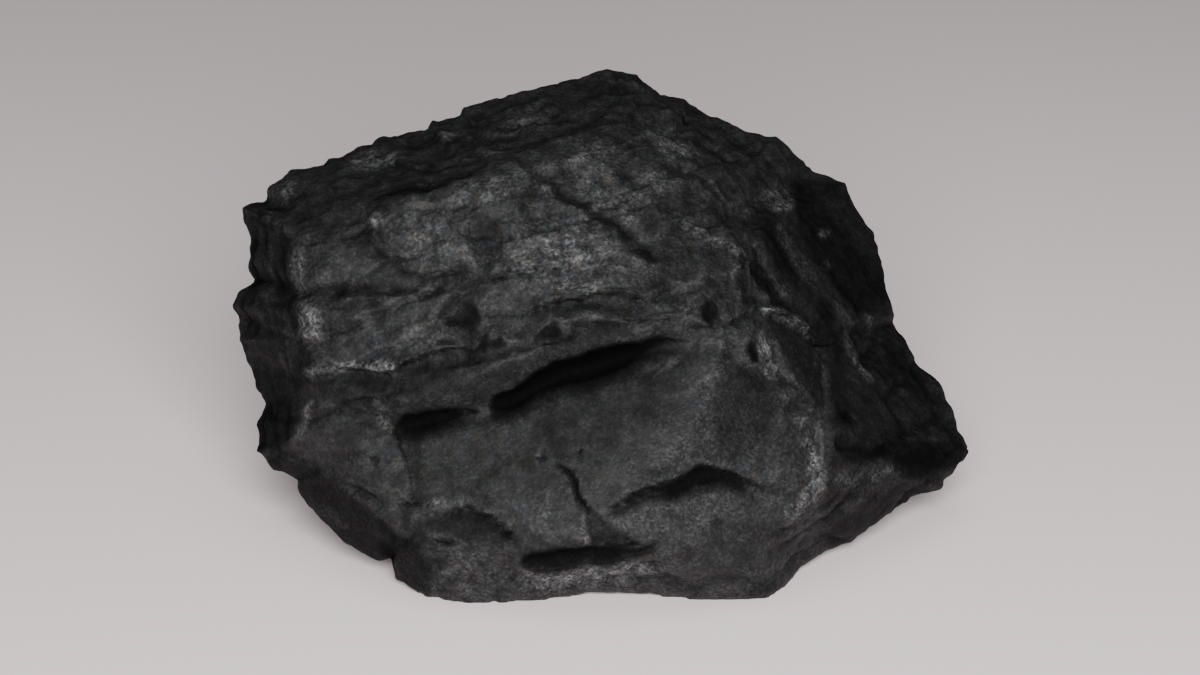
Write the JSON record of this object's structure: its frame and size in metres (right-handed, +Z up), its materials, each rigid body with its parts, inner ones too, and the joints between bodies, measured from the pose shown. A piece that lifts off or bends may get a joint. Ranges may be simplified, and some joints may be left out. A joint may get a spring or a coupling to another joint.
{
  "type": "coal lump",
  "caption": "Angular lump of hard black coal with cleavage faces, stepped beds and open partings, lying on its flat underside.",
  "frame": {"origin": "on the ground under the middle of the lump's box", "axes": "+Z up from the flat underside, X along the lump's longest side, -Y out of its broken front"},
  "size_m": [0.1224, 0.0896, 0.07],
  "materials": {
    "coal": "matte black coal with a faint grainy sheen"
  },
  "bodies": {
    "root": {"coal_lump": "coal"}
  },
  "joints": []
}
